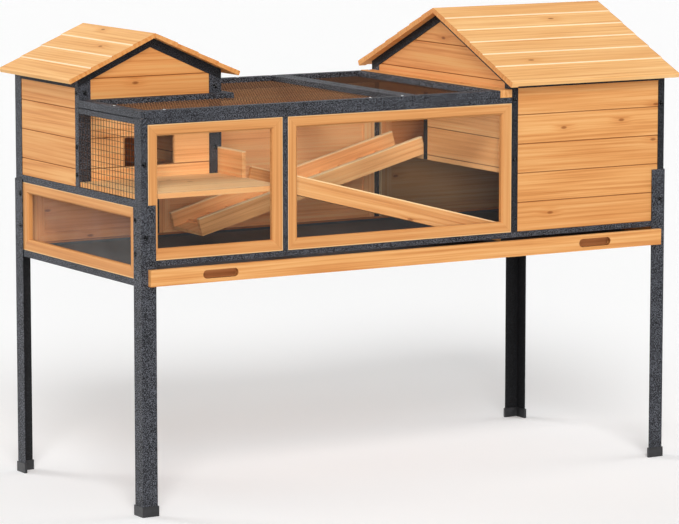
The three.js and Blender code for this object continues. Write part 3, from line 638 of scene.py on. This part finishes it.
def dressNodes():
    b = boards
    small, front, side = b["smallSeam"], b["frontSeam"], b["sideSeam"]
    wall, deck, door, window = b["wall"], b["deck"], b["doorMember"], b["windowMember"]
    gable = [(shades["gable"], (toTop, mm(shades["gableFrom"])))]
    deckEdgeShade = [(shades["deckFrontShade"], atFront("upper_platform", shades["deckEdge"])),
                 (shades["deckLeftShade"], atLeft("upper_platform", shades["deckEdge"]))]
    slotShade = [(shades["slotWallShade"], *within("tray_front", *shades["slotInset"]))]
    plans = {
        "left_house_front_wall": (boarded, penLitWood, level, upright, small, wall, 0.4, gable),
        "left_house_left_wall": (boarded, wood, deep, upright, small, wall),
        "left_house_right_wall": (boarded, penLitWood, deep, upright, small, wall),
        "left_house_back_gable": (boarded, wood, level, upright, small, wall),
        "right_house_front_wall": (boarded, wood, level, upright, front, wall, 1.0),
        "right_house_left_wall": (boarded, penLitWood, deep, upright, side, wall, 0.4, gable),
        "right_house_right_wall": (boarded, wood, deep, upright, side, wall),
        "upper_platform": (boarded, deckLitWood, level, deep, 0, deck, 0.4, deckEdgeShade),
        "right_house_floor": (boarded, innerLitWood, level, deep, 0, deck),
        "platform_fence": (rimmed, penLitWood, deep, upright),
        "long_ramp": (rimmed, penLitWood, sloping(b["longRamp"]), sloping(b["longRamp"] + 90)),
        "short_ramp": (rimmed, wood, sloping(b["shortRamp"]), sloping(b["shortRamp"] + 90)),
        "tray_front": (plain, wood, level, upright, slotShade),
        "tray_box": (plain, trayWood, level, deep),
        "lid_batten": (plain, wood, deep, level),
        "middle_back_panel": (framed, innerLitWood, level, door),
        "left_house_back_door": (framed, penLitWood, level, door, doorInnerShade("smallDoorShade")),
        "right_house_back_door": (framed, penLitWood, level, door, doorInnerShade("largeDoorShade")),
        "front_window_left": (framed, frameWood, level, window),
        "front_window_right": (framed, frameWood, level, window),
        "side_window": (framed, frameWood, deep, window),
    }
    for name, (kind, *sizes) in plans.items():
        dress(nodes[name], kind(name, *sizes))
    for name, node in nodes.items():
        if name.startswith("foot"):
            dress(node, blackPlastic)
        elif name.startswith("front_pane"):
            dress(node, clearAcrylic)
        elif name == "side_pane":
            dress(node, hazyAcrylic)
        elif name.startswith("leg"):
            dress(node, legSteel)
        elif "_rafter_" in name or name in ("right_house_post_front", "post_front_right"):
            dress(node, shadedSteel)
        elif name.startswith(("post", "rail")) or "_post_" in name:
            dress(node, hammeredSteel)


dressNodes()
print("nodes dressed")

# Mesh helpers: each finished piece is a mesh in place, its object at the origin


def addPiece(name, mesh, body, slot, *replaced):
    obj = bpy.data.objects.new(name, mesh)
    bpy.context.scene.collection.objects.link(obj)
    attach(obj, body)
    if replaced:
        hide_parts(*replaced)
    return obj


def addPainted(name, mesh, material, body, slot, *replaced):
    dress(addPiece(name, mesh, body, slot, *replaced), material)


def meshOf(name, work):
    mesh = bpy.data.meshes.new(name)
    bmesh.ops.recalc_face_normals(work, faces=work.faces)
    work.to_mesh(mesh)
    work.free()
    return mesh


def addBar(work, low, high, edge):
    # a bar with eased edges between two corners, in millimetres
    a, b = spot(*low), spot(*high)
    made = bmesh.ops.create_cube(work, size=1)["verts"]
    scale = Matrix.Diagonal((*(b - a), 1))
    bmesh.ops.transform(work, matrix=Matrix.Translation((a + b) / 2) @ scale, verts=made)
    edges = dict.fromkeys(edgeOf for vert in made for edgeOf in vert.link_edges)
    bmesh.ops.bevel(work, geom=list(edges), offset=mm(edge), segments=2, affect="EDGES",
                    profile=0.5)


def addRod(work, middle, direction, radius, length):
    # rods go in before bars: after a bevel their faces would be stored in any order
    turn = Vector(direction).to_track_quat("Z", "Y").to_matrix().to_4x4()
    made = bmesh.ops.create_cone(work, cap_ends=True, segments=20, radius1=mm(radius),
                                 radius2=mm(radius), depth=mm(length))["verts"]
    bmesh.ops.transform(work, matrix=Matrix.Translation(spot(*middle)) @ turn, verts=made)


def addProfile(work, points, direction, start, end):
    # a closed outline of places, swept straight from start to end along a direction
    move = Vector(direction)
    rings = [[work.verts.new(Vector(point) + move * at) for point in points] for at in (start, end)]
    work.faces.new(rings[0])
    work.faces.new(list(reversed(rings[1])))
    for index in range(len(points)):
        after = (index + 1) % len(points)
        work.faces.new((rings[0][index], rings[0][after], rings[1][after], rings[1][index]))


def ringOf(x0, y0, x1, y1, wide):
    # the four bars of a lying frame: front, back, left and right
    return ((x0, y0, x1, y0 + wide), (x0, y1 - wide, x1, y1),
            (x0, y0 + wide, x0 + wide, y1 - wide), (x1 - wide, y0 + wide, x1, y1 - wide))


def takeFrom(tree, source, values, name):
    # runs a Geometry Nodes tree on a mesh and keeps its result as a plain mesh
    carrier = bpy.data.objects.new(name, source)
    bpy.context.scene.collection.objects.link(carrier)
    modifier = carrier.modifiers.new(name, "NODES")
    modifier.node_group = tree
    for item in tree.interface.items_tree:
        if item.item_type == "SOCKET" and item.in_out == "INPUT" and item.name in values:
            modifier[item.identifier] = values[item.name]
    graph = bpy.context.evaluated_depsgraph_get()
    mesh = bpy.data.meshes.new_from_object(carrier.evaluated_get(graph))
    carrier.modifiers.clear()
    bpy.data.objects.remove(carrier)
    return mesh


def newTree(name, inputs):
    tree = bpy.data.node_groups.new(name, "GeometryNodeTree")
    tree.interface.new_socket("Geometry", in_out="INPUT", socket_type="NodeSocketGeometry")
    for title, kind in inputs.items():
        tree.interface.new_socket(title, in_out="INPUT", socket_type="NodeSocket" + kind)
    tree.interface.new_socket("Geometry", in_out="OUTPUT", socket_type="NodeSocketGeometry")
    entry = tree.nodes.new("NodeGroupInput")
    leave = tree.nodes.new("NodeGroupOutput")
    given = {output.name: Field(tree, output) for output in entry.outputs if output.name}
    return tree, given, leave


def close(tree, geometry, material, leave):
    # realised, given its material and handed out
    real = geometry.node("GeometryNodeRealizeInstances", None, {0: geometry})
    sockets = {"Geometry": real, "Material": material}
    painted = real.node("GeometryNodeSetMaterial", None, sockets)
    tree.links.new(painted.socket, leave.inputs[0])


# Nets: welded wire, one layer of wires over the other


def netTree():
    inputs = {"Width": "Float", "Depth": "Float", "Pitch": "Float", "Wire": "Float",
              "Material": "Material"}
    tree, given, leave = newTree("weldedNet", inputs)
    width, depth, pitch, wire = (given[name] for name in ("Width", "Depth", "Pitch", "Wire"))
    layers = []
    for span, length, lift in ((width, depth, 0.0), (depth, width, 1.0)):
        none, height, half = 0 * span, wire * lift, length / 2
        turned = length is width
        count = whole(span / pitch + 0.5) + 1
        end = vector(none, span, height) if turned else vector(span, none, height)
        sockets = {"Count": count, "Start Location": vector(none, none, height), "Offset": end}
        line = span.node("GeometryNodeMeshLine", {"mode": "END_POINTS"}, sockets)
        sockets = {"Vertices": net["sides"], "Radius": wire / 2, "Depth": length}
        rod = span.node("GeometryNodeMeshCylinder", {"fill_type": "NGON"}, sockets)
        turn = (0, math.pi / 2, 0) if turned else (math.pi / 2, 0, 0)
        move = vector(half, none, none) if turned else vector(none, half, none)
        sockets = {"Geometry": rod, "Rotation": turn, "Translation": move}
        laid = rod.node("GeometryNodeTransform", None, sockets)
        sockets = {"Points": line, "Instance": laid}
        layers.append(line.node("GeometryNodeInstanceOnPoints", None, sockets))
    joined = tree.nodes.new("GeometryNodeJoinGeometry")
    for layer in layers:
        tree.links.new(layer.socket, joined.inputs[0])
    close(tree, Field(tree, joined.outputs[0]), given["Material"], leave)
    return tree


weldedNet = netTree()


def netMesh(width, depth, matrix, material):
    values = {"Width": mm(width), "Depth": mm(depth), "Pitch": mm(net["pitch"]),
              "Wire": mm(net["wire"]), "Material": material}
    mesh = takeFrom(weldedNet, bpy.data.meshes.new("net"), values, "net")
    mesh.transform(matrix)
    return mesh


def steelMesh(name, work):
    mesh = meshOf(name, work)
    mesh.materials.append(hammeredSteel)
    return mesh


def gather(name, meshes):
    # several meshes with their materials as one
    work = bmesh.new()
    palette = []
    for mesh in meshes:
        before = len(work.faces)
        work.from_mesh(mesh)
        work.faces.ensure_lookup_table()
        paint = next(slot for slot in mesh.materials if slot)
        if paint not in palette:
            palette.append(paint)
        for face in work.faces[before:]:
            face.material_index = palette.index(paint)
        bpy.data.meshes.remove(mesh)
    gathered = bpy.data.meshes.new(name)
    work.to_mesh(gathered)
    work.free()
    for paint in palette:
        gathered.materials.append(paint)
    return gathered


# Lids: steel frames, an L-shaped fixed one and a hinged one, each with its net

lids = {"low": 912.3, "high": 929.3, "rail": 22, "edge": 0.6, "left": 2.3, "front": 2.3,
        "back": 643.7, "houseFront": 310.4, "passage": 380.6, "split": 721.55, "right": 967.7,
        "seam": 1.1, "netLap": 13.2, "netLift": 3, "netShort": 2}
lidHinge = {"fromEnd": 63, "half": 25, "sunk": 0.2, "thick": 1.5, "tall": 14, "edge": 0.3,
            "knuckles": (-15, 15), "axis": 3.3, "radius": 3, "long": 20}


def lidNet(x0, x1, y0, y1, material):
    # a net over the opening of a lid, its wires a whole number of pitches from the first lid's
    pitch, inset = net["pitch"], lids["rail"] - lids["netLap"]
    first = net["first"] + math.ceil((x0 + inset - net["first"]) / pitch - 0.01) * pitch
    width = math.floor((x1 - lids["netShort"] - first) / pitch) * pitch
    lift = Matrix.Translation(spot(first, y0 + inset, lids["low"] + lids["netLift"]))
    return netMesh(width, y1 - inset - (y0 + inset), lift, material)


def makeLids():
    low, high, rail = lids["low"], lids["high"], lids["rail"]
    left, front, back = lids["left"], lids["front"], lids["back"]
    inner, passage, right = lids["houseFront"], lids["passage"], lids["right"]
    fixedTo, hingedFrom = lids["split"] - lids["seam"], lids["split"] + lids["seam"]
    work = bmesh.new()
    for x0, y0, x1, y1 in (
        (left, front, fixedTo, front + rail),
        (left, front + rail, left + rail, inner - rail),
        (left, inner - rail, passage + rail, inner),
        (passage, inner, passage + rail, back - rail),
        (passage, back - rail, fixedTo, back),
        (fixedTo - rail, front + rail, fixedTo, back - rail),
    ):
        addBar(work, (x0, y0, low), (x1, y1, high), lids["edge"])
    bars = steelMesh("fixedLidBars", work)
    strip = lidNet(left, passage + rail, front, inner, lidWire)
    run = lidNet(passage, fixedTo, front, back, lidWire)
    addPiece("fixedLid", gather("fixedLid", [bars, strip, run]), "cage", "lid_steel", "fixed_lid")

    work = bmesh.new()
    h = lidHinge
    middles = (hingedFrom + h["fromEnd"], right - h["fromEnd"])
    for middle in middles:
        for knuckle in h["knuckles"]:
            at = (middle + knuckle, back + h["axis"], low)
            addRod(work, at, level, h["radius"], h["long"])
    for x0, y0, x1, y1 in ringOf(hingedFrom, front, right, back, rail):
        addBar(work, (x0, y0, low), (x1, y1, high), lids["edge"])
    for middle in middles:
        addBar(work, (middle - h["half"], back - h["sunk"], low),
               (middle + h["half"], back + h["thick"], low + h["tall"]), h["edge"])
    bars = steelMesh("hingedLidBars", work)
    run = lidNet(hingedFrom, right, front, back, hingedLidWire)
    addPiece("hingedLid", gather("hingedLid", [bars, run]), "lid", "lid_steel", "hinged_lid")


makeLids()

# The net at the left of the upper deck, standing, with its edge rail

sideNet = {"left": 2.3, "front": 34.6, "back": 310.4, "low": 726.2, "railLow": 898, "top": 912,
           "flange": 22, "wall": 2, "edge": 0.4, "behindRail": 8, "netAt": (3.6, 34.8, 726.5)}


def makeSideNet():
    s = sideNet
    left, front, back, top, wall = (s[key] for key in ("left", "front", "back", "top", "wall"))
    work = bmesh.new()
    addBar(work, (left, front, s["railLow"]), (left + wall, back, top), s["edge"])
    addBar(work, (left, front, top - wall), (left + s["flange"], back, top), s["edge"])
    rail = steelMesh("sideNetRail", work)
    stand = Matrix(((0, 0, 1, 0), (1, 0, 0, 0), (0, 1, 0, 0), (0, 0, 0, 1)))
    lift = Matrix.Translation(spot(*s["netAt"])) @ stand
    run = netMesh(back - front, s["railLow"] - s["low"] + s["behindRail"], lift, brownWire)
    addPiece("sideNet", gather("sideNet", [rail, run]), "cage", "brown_net", "side_net")


makeSideNet()
print("nets and lids made")

# Roofs: lapped boards, each its own board with eased edges

roofAngle = math.radians(24)
sine, cosine = math.sin(roofAngle), math.cos(roofAngle)
roofs = {
    "lift": 9, "lap": 1.8, "bevel": 1.6, "ease": 0.4, "gap": 0.3, "crack": 0.25, "knots": 0.5,
    "nudges": (0.0, 0.35, -0.2, 0.15, -0.35, 0.25),  # the boards' ends don't quite line up
    "ridgeBoard": 54, "eaveBoard": 81,  # of the large roof
    "strip": 2.4, "stripEnd": 999.4, "sunk": 0.05,
    "backPlate": ((1018.5, 630.7, 938.3), (1413.1, 642.7, 955.5), 0.6),
    "left": {"ridge": 191.3, "peak": 984.6 + 189 * math.tan(roofAngle), "reach": 225.8,
             "from": 283.7, "to": 653.7},
    "right": {"ridge": 323, "peak": 953.4 + 320.7 * math.tan(roofAngle), "reach": 353.5,
              "from": 979.2, "to": 1467.2},
}


def boardEdges(side, length):
    # how far down the slope each board begins, and the last one's end
    if side == "left":
        step = roofs["left"]["reach"] / cosine / 4
        inner = (length - 2 * step) / 2
        return [0, step, step + inner, step + 2 * inner, length]
    ridgeBoard = roofs["ridgeBoard"]
    inner = (length - ridgeBoard - roofs["eaveBoard"]) / 4
    return [0] + [ridgeBoard + inner * count for count in range(5)] + [length]


def roofBoards(side, towards):
    r = roofs[side]
    thick, bevel, ease, crack = (roofs[key] for key in ("lift", "bevel", "ease", "crack"))
    crest = thick + roofs["lap"]
    plumb = roofs["gap"] / 2 / cosine
    length = (r["reach"] - (crest - bevel) * sine) / cosine
    edges = boardEdges(side, length)

    def at(run, lift):
        across = r["ridge"] + towards * (run * cosine + lift * sine)
        height = r["peak"] - run * sine + lift * cosine
        return spot(across, 0, height) if side == "left" else spot(0, across, height)

    along = deep if side == "left" else level
    work = bmesh.new()
    for index, (upper, lower) in enumerate(zip(edges, edges[1:])):
        head = [(upper + crack, 0), (upper + crack, thick - 0.3), (upper + crack + ease, thick)]
        if index == 0:
            head = [(plumb, 0), (plumb - thick * sine / cosine, thick)]
        outline = head + [(lower - bevel, crest), (lower - ease, crest - bevel * 0.75),
                          (lower, crest - bevel - 0.5), (lower, 0)]
        nudge = roofs["nudges"][(index * 5 + (towards > 0)) % len(roofs["nudges"])]
        start, end = mm(r["from"] + max(nudge, 0)), mm(r["to"] - max(-nudge, 0))
        addProfile(work, [at(*point) for point in outline], along, start, end)
    if side == "right":
        # a strip under the overhanging ends hides the rafter from the front
        drop, sunk = roofs["strip"], roofs["sunk"]
        outline = [(plumb, -sunk), (plumb + drop * sine / cosine, -drop), (length, -drop),
                   (length, -sunk)]
        start, end = mm(r["from"]), mm(roofs["stripEnd"])
        addProfile(work, [at(*point) for point in outline], along, start, end)
    return work, edges


def makeRoofs():
    for side, towards, name, node in (
        ("left", -1, "leftRoofLeft", "left_house_roof_left"),
        ("left", 1, "leftRoofRight", "left_house_roof_right"),
        ("right", -1, "rightRoofFront", "right_house_roof_front"),
        ("right", 1, "rightRoofBack", "right_house_roof_back"),
    ):
        r = roofs[side]
        work, edges = roofBoards(side, towards)
        mesh = meshOf(name, work)
        # the boards follow one another down the slope, from the ridge
        run, drop = cosine * towards, -sine
        low, high = (spot(r[end], r[end], 0) for end in ("from", "to"))
        if side == "left":
            grain, across, ends = deep, (run, 0, drop), (low.y, high.y)
            ridge = spot(r["ridge"], 0, r["peak"])
            origin = run * ridge.x + drop * ridge.z
        else:
            grain, across, ends = level, (0, run, drop), (low.x, high.x)
            ridge = spot(0, r["ridge"], r["peak"])
            origin = run * ridge.y + drop * ridge.z
        board, seam = mm(edges[2] - edges[1]), origin + mm(edges[1])
        laps = [origin + mm(edge - 1.5) for edge in edges[1:-1]]
        paint = woodFinish(name + "Pine", roofLitWood, grain, across, seam, board,
                           knots=roofs["knots"], laps=laps, ends=ends)
        if node == "right_house_roof_back":
            # the board under the back eave belongs to this slope
            work = bmesh.new()
            work.from_mesh(mesh)
            bpy.data.meshes.remove(mesh)
            addBar(work, *roofs["backPlate"])
            mesh = meshOf(name, work)
        addPainted(name, mesh, paint, "cage", "roof_pine", node)


makeRoofs()
print("roofs boarded")

# Bolts and screws: one head of each kind, set on points that carry the way they face

heads = {  # outlines from the middle outwards: radius and height
    "bolt": [(0, 1.3), (1.7, 1.3), (1.7, 2.9), (2.6, 3.0), (4.0, 2.2), (4.7, 0.8), (6.2, 0.7),
             (6.2, 0)],
    "screw": [(0, 0.7), (0.9, 0.7), (0.9, 1.4), (1.8, 1.5), (2.9, 0.8), (3.2, 0)],
    "sides": 14,
}
boltPlaces = {
    "legSides": [((x, y, z), way) for z in (603, 680) for y in (29, 617)
                 for x, way in ((0, toLeft), (1448, toRight))],
    "legFaces": [((x, y, z), way) for y, z, way in ((646, 563, toBack), (0, 642, toFront),
                                                    (646, 642, toBack)) for x in (13, 1434)],
    "frontPosts": [((x, 2.3, z), toFront) for x, z in ((1010, 908), (1010, 763), (1437, 876),
                                                       (11, 808))],
    "sidePosts": [((x, y, z), way) for z in (945, 819, 754)
                  for x, y, way in ((2.3, 320.5, toLeft), (1445.7, 18, toRight),
                                    (1445.7, 628, toRight))],
    "backPosts": [((x, 643.7, z + rise), toBack) for z in (900, 760)
                  for x, rise in ((20, 45), (364, 0), (1009, 0))],
    "smallHouse": [((x, 310.7, z), toFront) for x, z in ((364, 945), (364, 800), (20, 945))],
}
lidScrewPlaces = [((x, y, lids["high"]), toTop) for x, y in (
    (68, 13), (612, 13), (700, 13), (430, 632), (606, 632), (700, 632), (13, 151))]
lidScrewPlaces.append(((984, 628, 930.3), toTop))  # in the batten


def lathe(name, profile, sides):
    work = bmesh.new()
    turns = [2 * math.pi * side / sides for side in range(sides)]
    rings = []
    for radius, height in profile:
        around = turns if radius else [0]
        rings.append([work.verts.new((mm(radius) * math.cos(turn), mm(radius) * math.sin(turn),
                                      mm(height))) for turn in around])
    for inner, outer in zip(rings, rings[1:]):
        for side in range(sides):
            after = (side + 1) % sides
            if len(inner) == 1:
                work.faces.new((inner[0], outer[side], outer[after]))
            else:
                work.faces.new((inner[side], outer[side], outer[after], inner[after]))
    work.faces.new(list(reversed(rings[-1])))
    return meshOf(name, work)


def headTree():
    inputs = {"Head": "Object", "Material": "Material", "Size": "Float", "Seed": "Int"}
    tree, given, leave = newTree("headsOnPoints", inputs)
    points = given["Geometry"]
    sockets = {"Object": given["Head"]}
    head = points.node("GeometryNodeObjectInfo", None, sockets, "Geometry")
    settings, sockets = {"data_type": "FLOAT_VECTOR"}, {"Name": "facing"}
    way = points.node("GeometryNodeInputNamedAttribute", settings, sockets)
    turned = points.node("FunctionNodeAlignRotationToVector", {"axis": "Z"}, {"Vector": way})
    settings, sockets = {"data_type": "FLOAT"}, {2: 0.0, 3: 6.28, "Seed": given["Seed"]}
    spin = points.node("FunctionNodeRandomValue", settings, sockets, 1)
    sockets = {"Axis": (0, 0, 1), "Angle": spin}
    local = points.node("FunctionNodeAxisAngleToRotation", None, sockets)
    settings, sockets = {"rotation_space": "LOCAL"}, {0: turned, 1: local}
    both = points.node("FunctionNodeRotateRotation", settings, sockets)
    sockets = {"Points": points, "Instance": head, "Rotation": both, "Scale": given["Size"]}
    laid = points.node("GeometryNodeInstanceOnPoints", None, sockets)
    close(tree, laid, given["Material"], leave)
    return tree


headsOnPoints = headTree()


def setHeads(name, kind, material, places, slot, seed, size=1.0):
    points = bpy.data.meshes.new(name + "Points")
    points.from_pydata([spot(*at) for at, way in places], [], [])
    facing = points.attributes.new("facing", "FLOAT_VECTOR", "POINT")
    for index, (at, way) in enumerate(places):
        facing.data[index].vector = way
    head = bpy.data.objects.new("head", lathe("head", heads[kind], heads["sides"]))
    values = {"Head": head, "Material": material, "Size": size, "Seed": seed}
    mesh = takeFrom(headsOnPoints, points, values, name)
    bpy.data.objects.remove(head)
    addPainted(name, mesh, material, "cage", slot)


bolts = [bolt for places in boltPlaces.values() for bolt in places]
setHeads("bolts", "bolt", darkBolt, bolts, "hammered_steel", 3)
setHeads("lidScrews", "screw", zincSteel, lidScrewPlaces, "lid_steel", 5)
print("bolts and screws set")

# Trim: the doorway's jamb, the strips under two eaves and the tray's lining

strips = {  # two corners, and how far the edges are eased
    "jamb": ((1000.3, 382, 726.5), (1002.3, 397, 893), 0.4),
    "frontEave": ((1018.6, 2.2, 933), (1427.8, 3.7, 951.5), 0.4),
    "leftEave": ((2.4, 329, 956), (3.75, 611, 984.3), 0.3),
}
lining = {"x": (49.6, 1398.4), "y": (28.1, 601.3), "z": (549.9, 551.1), "rim": 556.5,
          "thick": 1.2, "edge": 0.3}


def makeTrim():
    work = bmesh.new()
    for low, high, edge in strips.values():
        addBar(work, low, high, edge)
    # the jamb and the eave strips wear the steel with painted shade
    name = "jambAndEaveStrips"
    addPainted(name, meshOf(name, work), shadedSteel, "cage", "hammered_steel")

    work = bmesh.new()
    (left, right), (front, back), (low, top) = lining["x"], lining["y"], lining["z"]
    addBar(work, (left, front, low), (right, back, top), lining["edge"])
    for x0, y0, x1, y1 in ringOf(left, front, right, back, lining["thick"]):
        addBar(work, (x0, y0, top), (x1, y1, lining["rim"]), lining["edge"])
    addPainted("trayLining", meshOf("trayLining", work), darkLining, "tray", "tray_wood")


makeTrim()

# Hinges, knobs and turn latches at the back

doorHinge = {
    "axisY": 646.0, "leafY": 646.05, "thick": 1.3, "reach": 18, "half": 25, "edge": 0.3,
    "fromEnd": 63, "barrel": 3.15, "knuckle": 10, "knuckles": (-20, 0, 20),
    "screws": (-16, 16), "screwOut": 12, "screwY": 647.3, "screwSize": 0.75,
    # the axis, the way the fixed leaf reaches from it, and the door's foot and head
    "doors": ((41.3, -1, 546.5, 906.5), (1406.7, 1, 546.5, 936.8)),
}
lidLeaf = {"middles": (784.7, 904.7), "half": 25, "y": (643.75, 645.1), "z": (898.5, 912.2),
           "knuckles": (-23, 0, 23), "axisY": 647.0, "axisZ": 912.3, "long": 6}
knob = {"profile": [(0, 17), (4, 16.6), (7.4, 14.6), (8.6, 11.5), (7.6, 8), (4.4, 5.6), (4.2, 2),
                    (6, 0)], "sides": 28, "faceY": 642.7}
latch = {"places": ((349, 780), (1017, 800)), "half": 5, "long": 20, "y": (644.0, 646.6),
         "edge": 1.1}


def makeHinges():
    h, leaf = doorHinge, lidLeaf
    rods, bars, screws = [], [], []
    for axis, away, foot, head in h["doors"]:
        sides = sorted((axis, axis + away * h["reach"]))
        for middle in (foot + h["fromEnd"], head - h["fromEnd"]):
            bars.append(((sides[0], h["leafY"], middle - h["half"]),
                         (sides[1], h["leafY"] + h["thick"], middle + h["half"])))
            for shift in h["knuckles"]:
                rods.append(((axis, h["axisY"], middle + shift), upright, h["knuckle"]))
            for shift in h["screws"]:
                at = (axis + away * h["screwOut"], h["screwY"], middle + shift)
                screws.append((at, toBack))
    for middle in leaf["middles"]:
        bars.append(((middle - leaf["half"], leaf["y"][0], leaf["z"][0]),
                     (middle + leaf["half"], leaf["y"][1], leaf["z"][1])))
        for shift in leaf["knuckles"]:
            rods.append(((middle + shift, leaf["axisY"], leaf["axisZ"]), level, leaf["long"]))
    leaves = bmesh.new()
    for at, direction, length in rods:
        addRod(leaves, at, direction, h["barrel"], length)
    for low, high in bars:
        addBar(leaves, low, high, h["edge"])
    addPainted("hingeLeaves", meshOf("hingeLeaves", leaves), zincSteel, "cage", "hammered_steel")
    setHeads("hingeScrews", "screw", zincSteel, screws, "hammered_steel", 9, h["screwSize"])


def makeKnobs():
    pine = woodFinish("knobPine", wood, deep, upright, knots=0)
    turn = Matrix.Rotation(math.radians(-90), 4, "X")
    for name, x, z, body in (("leftDoorKnob", 330.5, 720, "left_door"),
                             ("rightDoorKnob", 1035.7, 740, "right_door")):
        mesh = lathe(name, knob["profile"], knob["sides"])
        mesh.transform(Matrix.Translation(spot(x, knob["faceY"], z)) @ turn)
        addPainted(name, mesh, pine, body, "panel_pine")
    work = bmesh.new()
    half, long, (near, far) = latch["half"], latch["long"], latch["y"]
    for x, z in latch["places"]:
        addBar(work, (x - half, near, z - long), (x + half, far, z + long), latch["edge"])
    addPainted("turnLatches", meshOf("turnLatches", work), zincSteel, "cage", "hammered_steel")


makeHinges()
makeKnobs()
print("hardware made")

print("scene ready")
